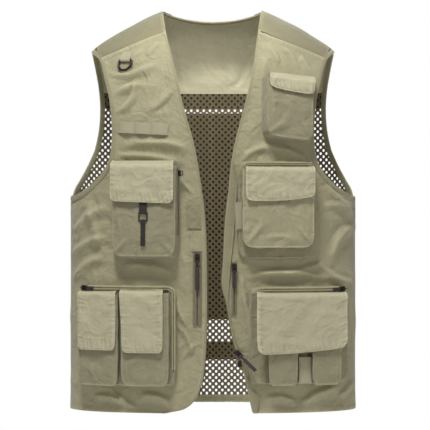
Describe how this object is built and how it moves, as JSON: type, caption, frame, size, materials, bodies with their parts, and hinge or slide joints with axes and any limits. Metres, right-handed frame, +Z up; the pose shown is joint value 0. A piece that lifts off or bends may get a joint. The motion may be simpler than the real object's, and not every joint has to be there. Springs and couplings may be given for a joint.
{
  "type": "fishing vest",
  "caption": "Open-front sleeveless fishing vest in khaki cloth with a net back, padded shoulder yokes, stand-off flap pockets, zipped pockets, tool loops and a D-ring.",
  "frame": {"origin": "middle of the neck opening, level with the two points where the shoulder ridges meet the neck", "axes": "+Z up the wearer's body, -Y towards the front, +X to the wearer's left"},
  "size_m": [0.5, 0.2734, 0.694],
  "materials": {
    "khaki_cloth": "matte twill",
    "padded_yoke": "matte twill over thin wadding",
    "net": "open warp-knit net",
    "binding": "folded tape",
    "webbing": "woven webbing",
    "zip_tape": "woven zip tape",
    "zip_coil": "nylon coil",
    "black_metal": "black enamel",
    "black_moulding": "soft moulding",
    "touch_fastener": "loop pile"
  },
  "bodies": {
    "vest": {"back_yoke": "khaki_cloth", "back_mesh": "net", "back_pocket": "khaki_cloth", "back_waist_band": "khaki_cloth", "back_hem": "binding", "front_panel_right": "khaki_cloth", "front_panel_left": "khaki_cloth", "shoulder_yoke_right": "padded_yoke", "shoulder_yoke_left": "padded_yoke", "neck_binding": "binding", "armhole_binding_right": "binding", "armhole_binding_left": "binding", "left_placket": "khaki_cloth", "main_zip_tape_right": "zip_tape", "main_zip_tape_left": "zip_tape", "main_zip_teeth": "zip_coil", "main_zip_ends": "black_metal", "d_ring_loop": "webbing", "tool_webbing": "webbing", "id_patch": "khaki_cloth", "chest_pocket_right": "khaki_cloth", "chest_zip_tape": "zip_tape", "tether_tab": "black_moulding", "right_placket_zip_tape": "zip_tape", "left_placket_zip_tape": "zip_tape", "lower_pocket_right": "khaki_cloth", "lower_pocket_left": "khaki_cloth", "mid_pocket_rear": "khaki_cloth", "lower_right_zip_tape": "zip_tape", "lower_left_zip_tape": "zip_tape", "mid_zip_tape": "zip_tape", "cell_pocket_outer": "khaki_cloth", "cell_pocket_inner": "khaki_cloth", "small_pocket_left": "khaki_cloth", "mid_pocket_left": "khaki_cloth", "lower_left_cells": "khaki_cloth", "lower_left_strap": "webbing", "mid_pull_tab": "khaki_cloth", "flap_tops": "khaki_cloth", "loop_patches": "touch_fastener"},
    "chest_flap": {"chest_flap": "khaki_cloth"},
    "outer_cell_flap": {"outer_cell_flap": "khaki_cloth"},
    "inner_cell_flap": {"inner_cell_flap": "khaki_cloth"},
    "small_flap": {"small_flap": "khaki_cloth"},
    "mid_flap": {"mid_flap": "khaki_cloth"},
    "lower_left_flap": {"lower_left_flap": "khaki_cloth"},
    "d_ring": {"d_ring": "black_metal"},
    "tether_ring": {"tether_ring": "black_moulding"},
    "tether_strap": {"tether_strap": "black_moulding"},
    "main_zip_slider": {"main_zip_slider": "black_metal"},
    "main_zip_puller": {"main_zip_puller": "black_moulding"},
    "chest_zip_slider": {"chest_zip_slider": "black_metal"},
    "right_placket_slider": {"right_placket_zip_slider": "black_metal"},
    "right_placket_puller": {"right_placket_zip_puller": "black_moulding"},
    "left_placket_slider": {"left_placket_zip_slider": "black_metal"},
    "left_placket_puller": {"left_placket_zip_puller": "black_moulding"},
    "lower_right_slider": {"lower_right_slider": "black_metal"},
    "lower_right_puller": {"lower_right_puller": "black_moulding"},
    "lower_left_slider": {"lower_left_slider": "black_metal"},
    "lower_left_puller": {"lower_left_puller": "black_moulding"}
  },
  "joints": [
    {"name": "chest_flap_hinge", "type": "hinge", "parent": "vest", "child": "chest_flap", "pos_m": [-0.12045, -0.13571, -0.2696], "axis": [-0.9818, 0.19, 0], "range_deg": [0, 150]},
    {"name": "outer_cell_flap_hinge", "type": "hinge", "parent": "vest", "child": "outer_cell_flap", "pos_m": [-0.1978, -0.11933, -0.4866], "axis": [-0.8879, 0.46, 0], "range_deg": [0, 150]},
    {"name": "inner_cell_flap_hinge", "type": "hinge", "parent": "vest", "child": "inner_cell_flap", "pos_m": [-0.12165, -0.14056, -0.4846], "axis": [-0.9835, 0.1809, 0], "range_deg": [0, 150]},
    {"name": "small_flap_hinge", "type": "hinge", "parent": "vest", "child": "small_flap", "pos_m": [0.13568, -0.12494, -0.12176], "axis": [-0.9694, -0.2291, 0.088], "range_deg": [0, 150]},
    {"name": "mid_flap_hinge", "type": "hinge", "parent": "vest", "child": "mid_flap", "pos_m": [0.11437, -0.13977, -0.2756], "axis": [-0.9848, -0.174, 0], "range_deg": [0, 150]},
    {"name": "lower_left_flap_hinge", "type": "hinge", "parent": "vest", "child": "lower_left_flap", "pos_m": [0.15149, -0.13417, -0.4886], "axis": [-0.9545, -0.2982, 0], "range_deg": [0, 150]},
    {"name": "d_ring_swing", "type": "hinge", "parent": "vest", "child": "d_ring", "pos_m": [-0.1494, -0.08352, -0.08857], "axis": [-0.8994, 0.4372, 0], "range_deg": [0, 110]},
    {"name": "tether_ring_swing", "type": "hinge", "parent": "vest", "child": "tether_ring", "pos_m": [-0.118, -0.13374, -0.35], "axis": [-0.9818, 0.19, 0], "range_deg": [0, 60]},
    {"name": "tether_strap_swing", "type": "hinge", "parent": "tether_ring", "child": "tether_strap", "pos_m": [-0.118, -0.13374, -0.363], "axis": [-0.9818, 0.19, 0], "range_deg": [0, 60]},
    {"name": "main_zip_slide", "type": "slide", "parent": "vest", "child": "main_zip_slider", "axis": [-0.298, 0, 0.9546], "range_m": [0, 0.04]},
    {"name": "main_puller_swing", "type": "hinge", "parent": "main_zip_slider", "child": "main_zip_puller", "pos_m": [0.04235, -0.12356, -0.588], "axis": [-0.6917, -0.027, -0.7217], "range_deg": [0, 100]},
    {"name": "chest_zip_slide", "type": "slide", "parent": "vest", "child": "chest_zip_slider", "axis": [0, 0, -1], "range_m": [0, 0.085]},
    {"name": "right_placket_zip_slide", "type": "slide", "parent": "vest", "child": "right_placket_slider", "axis": [0, 0, -1], "range_m": [0, 0.1]},
    {"name": "right_placket_puller_swing", "type": "hinge", "parent": "right_placket_slider", "child": "right_placket_puller", "pos_m": [-0.02668, -0.12382, -0.424], "axis": [-0.9998, 0.021, 0], "range_deg": [0, 150]},
    {"name": "left_placket_zip_slide", "type": "slide", "parent": "vest", "child": "left_placket_slider", "axis": [0, 0, -1], "range_m": [0, 0.07]},
    {"name": "left_placket_puller_swing", "type": "hinge", "parent": "left_placket_slider", "child": "left_placket_puller", "pos_m": [0.03628, -0.12357, -0.441], "axis": [-0.9995, -0.032, 0], "range_deg": [0, 150]},
    {"name": "lower_right_zip_slide", "type": "slide", "parent": "vest", "child": "lower_right_slider", "axis": [0.8019, -0.5974, 0], "range_m": [0, 0.02]},
    {"name": "lower_right_puller_swing", "type": "hinge", "parent": "lower_right_slider", "child": "lower_right_puller", "pos_m": [-0.22272, -0.08805, -0.4775], "axis": [-0.05, 0.038, -0.998], "range_deg": [0, 150]},
    {"name": "lower_left_zip_slide", "type": "slide", "parent": "vest", "child": "lower_left_slider", "axis": [-0.7963, -0.605, 0], "range_m": [0, 0.02]},
    {"name": "lower_left_puller_swing", "type": "hinge", "parent": "lower_left_slider", "child": "lower_left_puller", "pos_m": [0.22377, -0.08726, -0.4795], "axis": [-0.05, -0.038, 0.998], "range_deg": [0, 150]}
  ]
}
